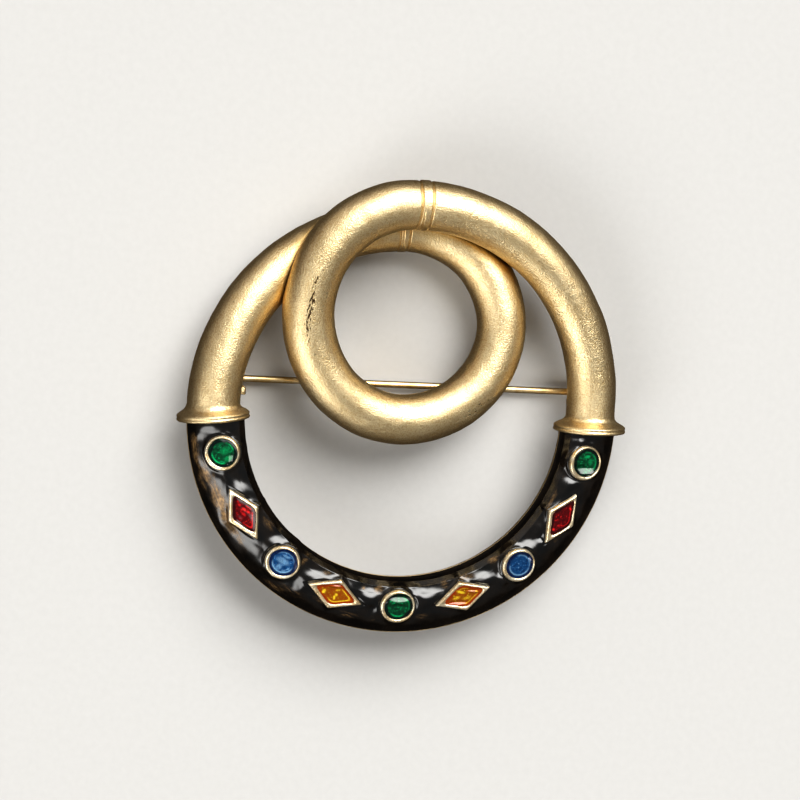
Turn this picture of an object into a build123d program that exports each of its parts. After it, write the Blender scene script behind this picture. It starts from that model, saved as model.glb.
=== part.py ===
from build123d import *
from collections import namedtuple
from math import atan2, cos, radians, sin
import os

# An enamelled scroll brooch, lying face up on its hinge, its catch and the back of its scroll.
# Lengths are millimetres and angles are degrees. In the ring's own frame the ring's centre is
# the origin, x runs to the right, y to the top of the brooch and z out of its face.

# Enamelled arc, the lower half of the ring
ring_radius = 20.95
arc_width = 6.3
arc_back_depth = 1.9
arc_front_height = 2.75
crest_inset = 1.75
wall_height = 0.4
shoulder_height = 0.1
enamel_foot = 0.0
back_tuck = 0.8
enamel_thickness = 0.35
enamel_gap = 0.02

# Scroll tube, which curls once round inside the ring
tube_diameter = 5.5
collar_outset = 0.25
arm_straight = 2.4
front_top = 23.6
front_rise = 1.6
loop_height = 21.1
loop_reach_left = 11.3
loop_reach_right = 11.05
loop_foot = -0.25
loop_shift_left = -0.2
loop_shift = -0.4
left_arm_start = 0.6
arcs_per_quarter = 3

# Collars and the sockets in them that hold the ends of the arc
rim_diameter = 8.1
rim_thickness = 0.65
rim_round = 0.2
rim_foot = -0.8
flare_length = 1.1
neck_bury = 0.2
left_collar_drop = 0.25
left_collar_tilt = 6.0
socket_depth = 2.4
tenon_diameter = 3.6
tenon_root = 0.6
seat_gap = 0.05

# Bands round the top of the scroll, each a raised bead between two grooves
band_width = 1.25
front_band_at = 0.3
rear_band_at = -0.9
bead_rise = 0.12
groove_width = 0.3
groove_depth = 0.13
scribe_place = -0.2
scribe_width = 0.14
scribe_depth = 0.05

# Settings along the arc
setting_inset = 0.1
setting_lift = 0.1
setting_spacing = 19.6
setting_lean = 16.0
round_diameter = 3.96
lozenge_length = 6.64
lozenge_width = 3.76
bezel_wall = 0.45
bezel_height = 1.6
cup_depth = 0.5
ledge_width = 0.3
well_depth = 0.85
fill_drop = 0.1

# Pin, hinge and catch
pin_diameter = 0.75
pin_height = 3.05
cloth_gap = 1.05
loop_low = 0.45
pin_overhang = 1.5
tip_length = 6.5
tip_diameter = 0.25
barrel_diameter = 1.9
barrel_length = 1.5
rivet_diameter = 0.8
rivet_clearance = 0.05
rivet_gap = 0.02
rivet_head_diameter = 1.4
rivet_head_thickness = 0.25
cheek_thickness = 0.6
cheek_gap = 0.08
cheek_margin = 0.05
hinge_inset = 0.7
weld_depth = 1.1
web_gap = 0.25
catch_length = 4.2
catch_end = 17.4
catch_gap = 0.3
catch_spine = 0.8
catch_leg = 0.55
catch_leg_length = 2.6

# Each setting from the left collar round to the right one, with its turn away from an even spacing
Stone = namedtuple("Stone", "colour kind shift")
stones = [
    Stone("green", "round", 0.7),
    Stone("red", "lozenge", 1.0),
    Stone("blue", "round", 0.7),
    Stone("amber", "lozenge", 0.1),
    Stone("green", "round", 0.6),
    Stone("amber", "lozenge", 1.5),
    Stone("blue", "round", 1.6),
    Stone("red", "lozenge", 1.4),
    Stone("green", "round", 0.4),
]

# Worked out from the sizes above
tube_radius = tube_diameter / 2
pin_radius = pin_diameter / 2
arm_reach = ring_radius + collar_outset
setting_radius = ring_radius - setting_inset
inner_radius = ring_radius - arc_width / 2
outer_radius = ring_radius + arc_width / 2
rear_top = loop_foot + loop_height
rim_top = rim_foot + rim_thickness
tube_foot = rim_foot + rim_thickness / 2
cheek_radius = barrel_diameter / 2 + cheek_margin
pin_depth = tube_radius + loop_low + cloth_gap + pin_radius
floor_depth = pin_depth + cheek_radius
rear_drop = floor_depth - tube_radius - bead_rise
ring_height = (outer_radius - front_top - tube_radius - bead_rise) / 2
hinge_x = arm_reach - hinge_inset
seat_level = rim_foot - seat_gap


def at(x, y, z=0.0):
    """A point of the ring's frame, with the whole brooch centred over the origin and on the floor."""
    return Vector(x, y + ring_height, z + floor_depth)


# The scroll's route. Each quarter turn is a quarter of an ellipse seen from the front, and the
# levels say how far the tube stands in front of or behind the ring at the quarter's two ends.

Quarter = namedtuple("Quarter", "centre_x centre_y reach_x reach_y")
Level = namedtuple("Level", "height slope")

left_half = (front_top - loop_foot) / 2
right_half = loop_height / 2
quarters = [
    Quarter(0, arm_straight, arm_reach, front_top - arm_straight),
    Quarter(loop_shift_left, front_top - left_half, loop_reach_left, left_half),
    Quarter(loop_shift_left, front_top - left_half, loop_reach_left, left_half),
    Quarter(loop_shift, rear_top - right_half, loop_reach_right, right_half),
    Quarter(loop_shift, rear_top - right_half, loop_reach_right, right_half),
    Quarter(loop_shift, left_arm_start, arm_reach + loop_shift, rear_top - left_arm_start),
]
levels = [
    Level(height=0, slope=0),
    Level(height=front_rise, slope=0),
    Level(height=0.78 * front_rise, slope=-0.35 * rear_drop),
    Level(height=0.06 * front_rise, slope=-0.42 * rear_drop),
    Level(height=-0.39 * rear_drop, slope=-0.46 * rear_drop),
    Level(height=-rear_drop, slope=0),
    Level(height=0, slope=0),
]


def level_between(low, high, share):
    """Cubic that leaves one level and reaches the next with their own slopes."""
    leave = share * (1 - share) ** 2
    arrive = share**2 * (share - 1)
    blend = share**2 * (3 - 2 * share)
    return low.height * (1 - blend) + high.height * blend + low.slope * leave + high.slope * arrive


def route_points(first, last):
    """Points at even turns from the start of one quarter to the end of another."""
    points = []
    for index in range(first, last):
        quarter = quarters[index]
        start = 0 if index == first else 1
        for step in range(start, arcs_per_quarter + 1):
            share = step / arcs_per_quarter
            turn = radians(90 * (index + share))
            x = quarter.centre_x + quarter.reach_x * cos(turn)
            y = quarter.centre_y + quarter.reach_y * sin(turn)
            points.append(at(x, y, level_between(levels[index], levels[index + 1], share)))
    return points


def arc_chain(points, heading):
    """One smooth line of tangent arcs through the points, and the heading that it ends with."""
    edges = []
    for start, end in zip(points, points[1:]):
        edges.append(Edge.make_tangent_arc(start, heading, end))
        heading = edges[-1] % 1
    return edges, heading


front_points = route_points(0, 3)
left_foot = at(-arm_reach, tube_foot - left_collar_drop)
rear_points = [front_points[-1]] + route_points(3, 6)[1:] + [left_foot]
stub = Edge.make_line(at(arm_reach, tube_foot), front_points[0])
front_edges, loop_heading = arc_chain(front_points, Vector(0, 1, 0))
rear_edges, _ = arc_chain(rear_points, loop_heading)
front_route = Wire([stub] + front_edges)
rear_route = Wire(rear_edges)


def band_plane(x, y, z):
    """The plane in which a band is drawn, with the tube's axis along its x."""
    return Plane(origin=at(x, y, z), x_dir=(1, 0, 0), z_dir=(0, 0, 1))


def band_bead(plane):
    """Section of a band's raised bead, from the tube's axis out, with its feet in the grooves."""
    half = band_width / 2 - groove_width / 3
    root = tube_radius - groove_depth / 2
    with BuildSketch(plane, mode=Mode.PRIVATE) as section:
        with BuildLine():
            side = Line((-half, 0), (-half, root))
            crown = ThreePointArc(side @ 1, (0, tube_radius + bead_rise), (half, root))
            Polyline(crown @ 1, (half, 0), side @ 0)
        make_face()
    return section.sketch


def band_grooves(plane, places, width, height):
    """Round-bottomed grooves at some places along a band, centred at a height over the tube's axis."""
    with BuildSketch(plane, mode=Mode.PRIVATE) as section:
        with Locations([(place, height) for place in places]):
            Circle(width / 2)
    return section.sketch


band_sides = (-band_width / 2, band_width / 2)
groove_height = tube_radius + groove_width / 2 - groove_depth
scribe_height = tube_radius + bead_rise - scribe_depth


def dress_band(plane):
    """Cuts a band's two grooves into the tube, raises the bead between them and scribes its line."""
    axis = Axis(plane.origin, plane.x_dir)
    revolve(band_grooves(plane, band_sides, groove_width, groove_height), axis, mode=Mode.SUBTRACT)
    revolve(band_bead(plane), axis)
    revolve(band_grooves(plane, [scribe_place], scribe_width, scribe_height), axis, mode=Mode.SUBTRACT)


# Front run of the scroll: right arm, top and the left side of the loop
with BuildPart() as front_run:
    with BuildSketch(Plane(origin=front_route @ 0, z_dir=front_route % 0)):
        Circle(tube_radius)
    sweep(path=front_route)
    dress_band(band_plane(front_band_at, front_top, front_rise))

# Rear run: the right side of the loop, its return behind the top, and the left arm
with BuildPart() as rear_run:
    with BuildSketch(Plane(origin=rear_route @ 0, z_dir=rear_route % 0)):
        Circle(tube_radius)
    sweep(path=rear_route)
    dress_band(band_plane(rear_band_at, rear_top, -rear_drop))

# The two collars. The left one hangs a little lower, with its outer end lower still.
Collar = namedtuple("Collar", "side drop tilt")
collars = [
    Collar(side=-1, drop=left_collar_drop, tilt=left_collar_tilt),
    Collar(side=1, drop=0, tilt=0),
]


def collar_level(collar, level):
    """The plane across a collar at some height along its axis, facing up the tube."""
    heading = Vector(-sin(radians(collar.tilt)), cos(radians(collar.tilt)), 0)
    return Plane(origin=at(collar.side * arm_reach, -collar.drop) + heading * level, z_dir=heading)


def collar_section(plane):
    """Half section of a collar: a hollow flare that starts inside the tube, and the round-edged rim."""
    rim_radius = rim_diameter / 2
    flare_top = rim_top + flare_length
    neck = (tube_radius - neck_bury, flare_top)
    with BuildSketch(plane, mode=Mode.PRIVATE) as section:
        with BuildLine():
            Line((0, rim_foot), (rim_radius - rim_round, rim_foot))
            ThreePointArc(
                (rim_radius - rim_round, rim_foot),
                (rim_radius, (rim_foot + rim_top) / 2),
                (rim_radius - rim_round, rim_top),
            )
            TangentArc(neck, (rim_radius - rim_round, rim_top), tangent=(neck_bury, -flare_length))
            Polyline(neck, (0, flare_top), (0, rim_foot))
        make_face()
    return section.sketch


# Hinge fork: two cheeks and the web between them, standing on the back of the right arm
hinge = at(hinge_x, pin_height, -pin_depth)
cheek_inner = barrel_length / 2 + cheek_gap
cheek_outer = cheek_inner + cheek_thickness + rivet_gap
hinge_plane = Plane(origin=hinge, x_dir=(1, 0, 0), z_dir=(0, -1, 0))
web_foot = barrel_diameter / 2 + web_gap
weld_height = pin_depth + weld_depth - tube_radius

# Catch: a slot open to the back, between a long spine below the pin and a short leg above it
catch_plane = Plane(origin=at(-catch_end, pin_height, -pin_depth), x_dir=(0, 1, 0), z_dir=(1, 0, 0))
slot_half = pin_radius + catch_gap
plate_middle = (weld_height - cheek_radius) / 2

with BuildPart() as scroll_tube:
    add(front_run.part)
    add(rear_run.part)
    for collar in collars:
        middle = collar_level(collar, 0)
        across = Plane(middle.origin, x_dir=middle.z_dir.rotate(Axis.Z, -90), z_dir=(0, 0, 1))
        revolve(collar_section(across), Axis(middle.origin, middle.z_dir))
        with BuildSketch(collar_level(collar, rim_foot)):
            Circle(tenon_diameter / 2 + seat_gap)
        extrude(amount=socket_depth, mode=Mode.SUBTRACT)
    for side in (-1, 1):
        with BuildSketch(hinge_plane.offset(side * (cheek_inner + cheek_thickness / 2))):
            Circle(cheek_radius)
            with Locations((0, weld_height / 2)):
                Rectangle(2 * cheek_radius, weld_height)
            Circle(rivet_diameter / 2 + rivet_gap, mode=Mode.SUBTRACT)
        extrude(amount=cheek_thickness / 2, both=True)
    with BuildSketch(hinge_plane):
        with Locations((0, (weld_height + web_foot) / 2)):
            Rectangle(2 * cheek_radius, weld_height - web_foot)
    extrude(amount=cheek_inner, both=True)
    with BuildSketch(catch_plane):
        with Locations((-slot_half - catch_spine / 2, plate_middle)):
            Rectangle(catch_spine, weld_height + cheek_radius)
    extrude(amount=-catch_length)
    with BuildSketch(catch_plane.offset(catch_leg_length - catch_length)):
        with Locations((slot_half + catch_leg / 2, plate_middle)):
            Rectangle(catch_leg, weld_height + cheek_radius)
        with Locations((0, (weld_height + slot_half) / 2)):
            Rectangle(2 * slot_half, weld_height - slot_half)
    extrude(amount=-catch_leg_length)
scroll_tube.part.label = "scroll_tube"


def dome_section(plane, inset, foot):
    """Section of the arc's domed face, drawn inset from its outer skin, down to a foot level."""
    inner = inner_radius + inset
    outer = outer_radius - inset
    crest = (inner_radius + crest_inset, arc_front_height - inset)
    with BuildSketch(plane, mode=Mode.PRIVATE) as section:
        with BuildLine():
            wall = Line((inner, foot), (inner, wall_height))
            TangentArc(crest, wall @ 1, tangent=(-1, 0))
            brow = TangentArc(crest, (outer, shoulder_height), tangent=(1, 0))
            Polyline(brow @ 1, (outer, foot), wall @ 0)
        make_face()
    return section.sketch


def back_section(plane):
    """Section of the arc's bare back, which curves in from the enamel's foot to a flat."""
    inner = (inner_radius, enamel_foot)
    outer = (outer_radius, enamel_foot)
    with BuildSketch(plane, mode=Mode.PRIVATE) as section:
        with BuildLine():
            near = TangentArc(inner, (inner_radius + back_tuck, -arc_back_depth), tangent=(0, -1))
            far = TangentArc(outer, (outer_radius - back_tuck, -arc_back_depth), tangent=(0, -1))
            Line(near @ 1, far @ 1)
            Line(inner, outer)
        make_face()
    return section.sketch


# The arc is turned about the ring's axis from the left collar, round the bottom, to the right one
ring_axis = Axis(at(0, 0), (0, 0, 1))
arc_start = Plane(origin=at(0, 0), x_dir=(-1, 0, 0), z_dir=(0, 1, 0))

Setting = namedtuple("Setting", "name kind plane")
settings = []
colour_counts = {}
lean = radians(setting_lean)
rim_level = arc_front_height + setting_lift
for index, stone in enumerate(stones):
    turn = radians((index - (len(stones) - 1) / 2) * setting_spacing + stone.shift)
    number = colour_counts.get(stone.colour, 0) + 1
    colour_counts[stone.colour] = number
    rim_plane = Plane(
        origin=at(setting_radius * sin(turn), -setting_radius * cos(turn), rim_level),
        x_dir=(cos(turn), sin(turn), 0),
        z_dir=(sin(lean) * sin(turn), -sin(lean) * cos(turn), cos(lean)),
    )
    settings.append(Setting(f"{stone.colour}_enamel_{number}", stone.kind, rim_plane))


def setting_outline(plane, kind, inset):
    """A setting's round or lozenge outline, drawn inset from its rim's outer edge."""
    with BuildSketch(plane, mode=Mode.PRIVATE) as outline:
        if kind == "round":
            Circle(round_diameter / 2 - inset)
        else:
            corner = atan2(lozenge_width, lozenge_length)
            half_length = lozenge_length / 2 - inset / sin(corner)
            half_width = lozenge_width / 2 - inset / cos(corner)
            Polygon((half_length, 0), (0, half_width), (-half_length, 0), (0, -half_width))
    return outline.sketch


# Cast metal of the arc: its bare back, the domed core under the enamel, the settings and two tenons
with BuildPart() as arc_frame:
    revolve(back_section(arc_start), ring_axis, 180)
    revolve(dome_section(arc_start, enamel_thickness, enamel_foot), ring_axis, 180)
    for collar in collars:
        split(bisect_by=collar_level(collar, seat_level), keep=Keep.BOTTOM)
    for collar in collars:
        with BuildSketch(collar_level(collar, seat_level - tenon_root)):
            Circle(tenon_diameter / 2)
        extrude(amount=tenon_root + socket_depth)
    for setting in settings:
        cup = setting_outline(setting.plane, setting.kind, bezel_wall)
        well = setting_outline(setting.plane, setting.kind, bezel_wall + ledge_width)
        extrude(setting_outline(setting.plane, setting.kind, 0), amount=-bezel_height)
        extrude(cup, amount=-cup_depth, mode=Mode.SUBTRACT)
        extrude(well, amount=-well_depth, mode=Mode.SUBTRACT)
arc_frame.part.label = "arc_frame"

# Black enamel: a skin over the domed core, open round each setting
with BuildPart() as black_enamel:
    inside = dome_section(arc_start, enamel_thickness - enamel_gap, enamel_foot)
    revolve(dome_section(arc_start, 0, enamel_foot + enamel_gap), ring_axis, 180)
    revolve(inside, ring_axis, 180, mode=Mode.SUBTRACT)
    for collar in collars:
        split(bisect_by=collar_level(collar, seat_level), keep=Keep.BOTTOM)
    for setting in settings:
        surround = setting_outline(setting.plane, setting.kind, -enamel_gap)
        extrude(surround, amount=bezel_height, both=True, mode=Mode.SUBTRACT)
black_enamel.part.label = "black_enamel"

# Coloured enamel, one stepped filling for each setting
fillings = []
for setting in settings:
    with BuildPart() as filling:
        surface = setting.plane.offset(-fill_drop)
        extrude(setting_outline(surface, setting.kind, bezel_wall + enamel_gap),
                amount=-(cup_depth - fill_drop - enamel_gap))
        extrude(setting_outline(surface, setting.kind, bezel_wall + ledge_width + enamel_gap),
                amount=-(well_depth - fill_drop - enamel_gap))
    filling.part.label = setting.name
    fillings.append(filling.part)

# Rivet across the fork, with a head outside each cheek
with BuildPart() as hinge_rivet:
    with BuildSketch(hinge_plane):
        Circle(rivet_diameter / 2)
    extrude(amount=cheek_outer + rivet_head_thickness / 2, both=True)
    for side in (-1, 1):
        with BuildSketch(hinge_plane.offset(side * cheek_outer)):
            Circle(rivet_head_diameter / 2)
        extrude(amount=side * rivet_head_thickness)
hinge_rivet.part.label = "hinge_rivet"

# Pin stem: a barrel on the rivet and a straight wire with a long point
pin_length = hinge_x + catch_end + catch_length + pin_overhang
wire_plane = Plane(origin=hinge, x_dir=(0, 1, 0), z_dir=(-1, 0, 0))
with BuildPart() as pin_stem:
    with BuildSketch(hinge_plane):
        Circle(barrel_diameter / 2)
    extrude(amount=barrel_length / 2, both=True)
    with BuildSketch(wire_plane):
        Circle(pin_radius)
    extrude(amount=pin_length - tip_length)
    with BuildSketch(wire_plane.offset(pin_length - tip_length)):
        Circle(pin_radius)
    with BuildSketch(wire_plane.offset(pin_length)):
        Circle(tip_diameter / 2)
    loft()
    with BuildSketch(hinge_plane):
        Circle(rivet_diameter / 2 + rivet_clearance)
    extrude(amount=barrel_length, both=True, mode=Mode.SUBTRACT)
pin_stem.part.label = "pin_stem"

os.makedirs("parts", exist_ok=True)
metal = [scroll_tube.part, arc_frame.part, hinge_rivet.part, pin_stem.part]
for piece in metal + [black_enamel.part] + fillings:
    export_step(piece, f"parts/{piece.label}.step")
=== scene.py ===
import math

import bpy
import numpy as np
from mathutils import Matrix, Vector


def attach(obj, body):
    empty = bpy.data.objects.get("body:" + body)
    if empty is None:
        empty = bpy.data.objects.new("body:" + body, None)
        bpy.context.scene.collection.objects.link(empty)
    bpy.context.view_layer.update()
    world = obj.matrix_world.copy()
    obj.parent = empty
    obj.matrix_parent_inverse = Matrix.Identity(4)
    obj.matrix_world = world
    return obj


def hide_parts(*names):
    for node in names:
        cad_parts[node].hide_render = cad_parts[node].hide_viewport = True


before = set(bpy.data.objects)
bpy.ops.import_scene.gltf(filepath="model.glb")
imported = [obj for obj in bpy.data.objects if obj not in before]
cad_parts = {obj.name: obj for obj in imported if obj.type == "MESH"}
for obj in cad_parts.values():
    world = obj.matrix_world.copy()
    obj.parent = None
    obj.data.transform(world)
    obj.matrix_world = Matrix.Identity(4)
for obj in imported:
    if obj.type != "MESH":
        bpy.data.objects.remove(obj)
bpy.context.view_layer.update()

# An enamelled scroll brooch that lies face up. Lengths are millimetres in the ring's own frame, as
# in the part: the ring's centre is the origin, x runs right, y to the top and z out of the face.
# A place's turn is degrees round the ring from straight down, positive towards the right.
ring = {
    "radius": 20.95,
    "arcWidth": 6.3,
    "middleOffset": -1.185,   # y of the ring's centre from the middle of the whole brooch
    "floorDepth": 5.625,      # how far the floor is below the ring's centre
    "millimetre": 0.001,
}


def putOnFloor(points):
    # moved out of the ring's frame onto the floor, then from millimetres to metres
    return (points + np.array([0, ring["middleOffset"], ring["floorDepth"]])) * ring["millimetre"]


def smoothStep(x, low, high):
    # 0 below low, 1 above high, 3x^2 - 2x^3 between
    share = np.clip((x - low) / (high - low), 0, 1)
    return share * share * (3 - 2 * share)


def bump(x, middle, width):
    # bell curve of height 1
    return np.exp(-((x - middle) / width) ** 2)


def plateau(x, low, full, last, high, height=1):
    # 0 below low and above high, height between full and last
    return height * smoothStep(x, low, full) * (1 - smoothStep(x, last, high))


def smoothCurve(x, knots, heights):
    # cubic through given knots, with each knot's slope taken from its neighbours
    knots, heights = np.asarray(knots, float), np.asarray(heights, float)
    slopes = np.gradient(heights, knots)
    left = np.clip(np.searchsorted(knots, x, side="right") - 1, 0, len(knots) - 2)
    gap = knots[left + 1] - knots[left]
    share = np.clip((x - knots[left]) / gap, 0, 1)
    ease = smoothStep(share, 0, 1)
    leave = share * (1 - share) ** 2 * gap * slopes[left]
    arrive = share * share * (share - 1) * gap * slopes[left + 1]
    return heights[left] * (1 - ease) + heights[left + 1] * ease + leave + arrive


def ripples(points, wavelength, seed, waves=26):
    # sum of plane sine waves with seeded headings, lengths and phases, about 1 high
    random = np.random.default_rng(seed)
    headings = unit(random.normal(size=(waves, 3)))
    lengths = wavelength * random.uniform(0.7, 1.6, (waves, 1))
    phases = random.uniform(0, 2 * np.pi, waves)
    return np.sin(2 * np.pi * points @ (headings / lengths).T + phases).sum(-1) / math.sqrt(waves / 2)


def waver(points, rows):
    # ripples of several heights, wavelengths and seeds added up
    return sum(height * ripples(points, wavelength, seed) for height, wavelength, seed in rows)


def fullTurn(count):
    return np.linspace(0, 2 * np.pi, count, endpoint=False)


def circle(angle):
    return np.stack([np.cos(angle), np.sin(angle)], -1)


def unit(vectors):
    # each vector of a list or grid brought to length 1
    return vectors / np.linalg.norm(vectors, axis=-1, keepdims=True)


def blurredLine(corners, marks, place, blur, closed=False):
    # points at places along a line whose corners stand at marks, averaged over a length of twice
    # blur, which rounds its corners
    total = np.zeros((len(place), 2))
    for shift in np.linspace(-blur, blur, 9):
        near = (place + shift) % marks[-1] if closed else np.clip(place + shift, 0, marks[-1])
        total += np.stack([np.interp(near, marks, corners[:, k]) for k in (0, 1)], -1)
    return total / 9


def spreadFrom(points, middle, turn, reachAlong, reachAcross):
    # offsets on the page from a middle, and the square of their size measured in two reaches, along
    # and across a direction that is turned from the right towards the top
    offset = points[..., :2] - middle
    along = offset @ [math.cos(turn), math.sin(turn)]
    across = offset @ [-math.sin(turn), math.cos(turn)]
    return offset, (along / reachAlong) ** 2 + (across / reachAcross) ** 2


def addObject(name, data):
    made = bpy.data.objects.new(name, data)
    bpy.context.scene.collection.objects.link(made)
    return made


def gridPiece(name, *grids):
    # Each grid is points[i, j], station i of a path and place j of the profile round it, with the
    # values that go with them. Four neighbours make a face and the profile joins itself. Open ends
    # are closed by fans round their middle, and a grid marked "ring" joins its last station to its
    # first. Each grid is turned the way that gives it a positive volume.
    allPoints, allCorners, allSizes, allValues, count = [], [], [], {}, 0
    for grid in grids:
        points, loop = grid["points"], grid.get("ring", False)
        rows, columns = points.shape[:2]
        index = np.arange(rows * columns).reshape(rows, columns)
        near = index if loop else index[:-1]
        far = np.roll(index, -1, axis=0) if loop else index[1:]
        quads = np.stack([near, far, np.roll(far, -1, 1), np.roll(near, -1, 1)], -1).reshape(-1, 4)
        vertices, fans = points.reshape(-1, 3), np.zeros((0, 3), int)
        values = {key: value.reshape(-1) for key, value in grid.get("values", {}).items()}
        if not loop:
            vertices = np.vstack([vertices, points[0].mean(0), points[-1].mean(0)])
            values = {
                key: np.append(value, [value[:columns].mean(), value[-columns:].mean()])
                for key, value in values.items()
            }
            start, end = np.full(columns, rows * columns), np.full(columns, rows * columns + 1)
            fans = np.vstack([
                np.stack([start, index[0], np.roll(index[0], -1)], -1),
                np.stack([end, np.roll(index[-1], -1), index[-1]], -1),
            ])
        triangles = np.vstack([quads[:, :3], quads[:, [0, 2, 3]], fans])
        a, b, c = (vertices[triangles[:, k]] for k in range(3))
        if np.einsum("ij,ij->", a, np.cross(b, c)) < 0:
            quads, fans = quads[:, ::-1], fans[:, ::-1]
        allPoints.append(vertices)
        allCorners.append(np.concatenate([quads.ravel(), fans.ravel()]) + count)
        allSizes.append(np.concatenate([np.full(len(quads), 4), np.full(len(fans), 3)]))
        for key, value in values.items():
            allValues.setdefault(key, []).append(value)
        count += len(vertices)
    mesh = bpy.data.meshes.new(name)
    corners, sizes = np.concatenate(allCorners), np.concatenate(allSizes)
    mesh.vertices.add(count)
    mesh.vertices.foreach_set("co", putOnFloor(np.vstack(allPoints)).ravel())
    mesh.loops.add(len(corners))
    mesh.loops.foreach_set("vertex_index", corners.astype(np.int32))
    mesh.polygons.add(len(sizes))
    mesh.polygons.foreach_set("loop_start", (np.cumsum(sizes) - sizes).astype(np.int32))
    mesh.polygons.foreach_set("use_smooth", np.ones(len(sizes), bool))
    for key, parts in allValues.items():
        attribute = mesh.attributes.new(key, "FLOAT", "POINT")
        attribute.data.foreach_set("value", np.concatenate(parts).astype(np.float32))
    mesh.update(calc_edges=True)
    mesh.validate()
    print("made", name, "with", int((sizes - 2).sum()), "triangles")
    return addObject(name, mesh)


def dress(piece, material, body, slot, *nodes):
    # gives a piece its finish and the body that carries it, and hides the part's nodes that it stands for
    piece.data.materials.append(material)
    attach(piece, body)
    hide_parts(*nodes)


def addNode(tree, kind, inputs=None, **settings):
    # one shader node, its sockets given by name as a value or as another node's output
    node = tree.nodes.new("ShaderNode" + kind)
    for key, value in settings.items():
        setattr(node, key, value)
    for socket, value in (inputs or {}).items():
        if isinstance(value, bpy.types.NodeSocket):
            tree.links.new(value, node.inputs[socket])
        else:
            node.inputs[socket].default_value = value
    return node


def addMath(tree, operation, first, second=0.0):
    return addNode(tree, "Math", {0: first, 1: second}, operation=operation).outputs[0]


def addScaled(tree, first, second, factor):
    # first + factor * second
    return addMath(tree, "ADD", first, addMath(tree, "MULTIPLY", second, factor))


def addMix(tree, share, first, second):
    # colour mix: first where share is 0 and second where it is 1
    return addNode(tree, "Mix", {0: share, 6: first, 7: second}, data_type="RGBA").outputs[2]


def addRange(tree, value, low, high, newLow=0.0, newHigh=1.0):
    return addNode(tree, "MapRange", {0: value, 1: low, 2: high, 3: newLow, 4: newHigh}).outputs[0]


def addNoise(tree, place, size, detail=3.0, roughness=0.55):
    # cloud noise whose lumps are about size millimetres across
    scale = 1 / (size * ring["millimetre"])
    inputs = {"Vector": place, "Scale": scale, "Detail": detail, "Roughness": roughness}
    return addNode(tree, "TexNoise", inputs).outputs[0]


def spreadNoise(tree, noise, newLow=0.0, newHigh=1.0):
    # cloud noise, which mostly keeps between 0.3 and 0.7, stretched to a range of its own
    return addRange(tree, noise, 0.3, 0.7, newLow, newHigh)


def readValue(tree, name):
    # a value that the piece's points carry, 0 on a piece without it
    return addNode(tree, "Attribute", attribute_name=name).outputs["Fac"]


def lengthwisePlace(tree, across, stretch):
    # a place on a bent bar, in millimetres along and across it, for noise that is stretch times
    # longer along the bar than across it
    along = addMath(tree, "DIVIDE", readValue(tree, "along"), stretch)
    return addNode(tree, "CombineXYZ", {0: along, 1: readValue(tree, across)}).outputs[0]


def feed(tree, shader, **sources):
    # leads outputs to the shader's sockets, whose names are written with _ for a space
    for socket, source in sources.items():
        tree.links.new(source, shader.inputs[socket.replace("_", " ")])


def addRelief(tree, shader, height, distance, strength=1.0):
    # makes the surface look uneven; a height of 1 stands for distance millimetres
    inputs = {"Height": height, "Strength": strength, "Distance": distance * ring["millimetre"]}
    feed(tree, shader, Normal=addNode(tree, "Bump", inputs).outputs[0])


def newMaterial(name, **constants):
    material = bpy.data.materials.new(name)
    material.use_nodes = True
    tree = material.node_tree
    shader = tree.nodes["Principled BSDF"]
    for socket, value in constants.items():
        shader.inputs[socket.replace("_", " ")].default_value = value
    place = addNode(tree, "TexCoord").outputs["Object"]
    return material, tree, shader, place


# Finishes

goldFinish = {
    "bright": (0.94, 0.775, 0.48, 1),
    "deep": (0.75, 0.54, 0.26, 1),
    # colour of the painted warm reflection in the crease where the turns cross
    "valleyReflection": (0.86, 0.55, 0.17, 1),
    # colour of the pits, and of the painted shade along the join of the crossing turns
    "grimeAndSeamShade": (0.10, 0.06, 0.03, 1),
    "patch": 2.6,             # size of the slow changes of colour
    "grain": 0.155,           # size of the sandblasted grain
    "fineGrain": 0.10,
    "patchTone": 0.4,         # what patch and grain count for in the tone, beside the fine grain's 1
    "grainTone": 1.5,
    "toneRange": (1.20, 1.65),    # their sum where the gold is deep, and where it is bright
    "wrinkleSize": 0.34,
    "pitSize": 0.17,
    "pitStretch": 3.2,        # pits are this many times longer along the tube than across it
    "pitZone": 0.33,          # what a place marked for pits adds to the pits' noise
    "pitEdge": (0.76, 0.84),  # noise at which a pit begins, and at which it is full
    # beside the turn that crosses: gap where the painted warm reflection in the crease or the painted
    # shade along the join is strongest, gap where it ends, and its strength at both
    "valleyReflectionFade": (0.25, 1.3, 0.7, 0.0),
    "seamShadeFade": (0.10, 0.45, 0.92, 0.0),
    "roughness": (0.31, 0.44),
    "grainHeight": 0.047,     # and the other forms' heights as a share of it
    "fineShare": 0.5,
    "creaseShare": 1.5,
    "pitShare": -2.5,
}


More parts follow.
